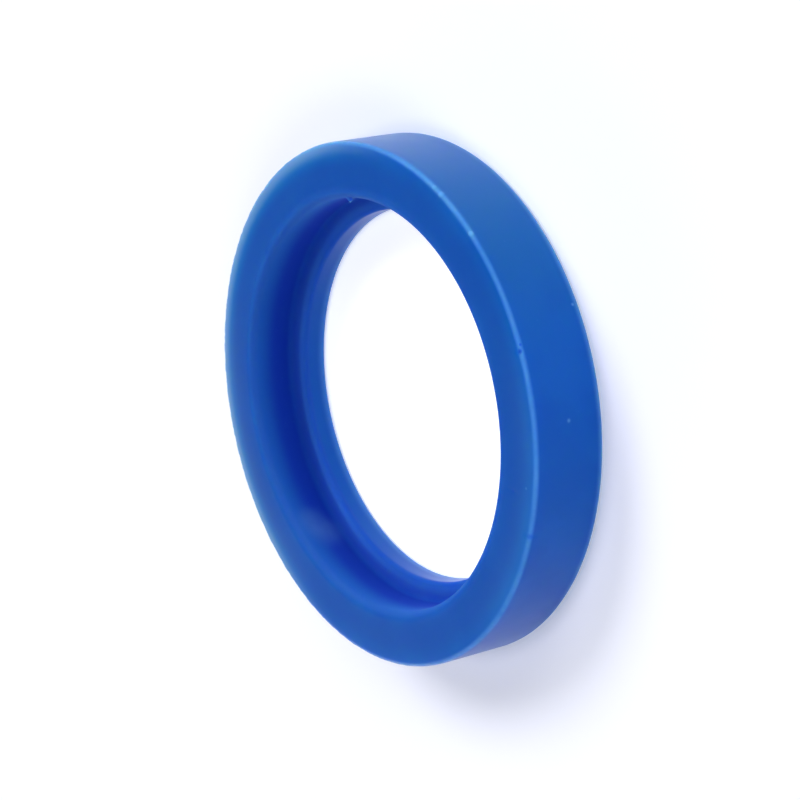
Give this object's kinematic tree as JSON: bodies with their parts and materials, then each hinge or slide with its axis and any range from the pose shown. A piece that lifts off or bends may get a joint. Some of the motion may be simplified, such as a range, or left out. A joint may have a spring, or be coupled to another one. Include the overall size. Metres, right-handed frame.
{
  "type": "sanitary union gasket",
  "caption": "Moulded ring gasket with an L-shaped section for a threaded tube union: two flat sealing faces, a recess for the liner end and a thin inward lip at the flow bore.",
  "frame": {"origin": "centre of the ring on the lip-side sealing face, which it lies on", "axes": "+Z along the ring's axis, out of the mouth of the recess"},
  "size_m": [0.032, 0.032, 0.005],
  "materials": {
    "gasket_rubber": "satin moulded blue elastomer, slightly translucent"
  },
  "bodies": {
    "root": {"gasket": "gasket_rubber"}
  },
  "joints": []
}
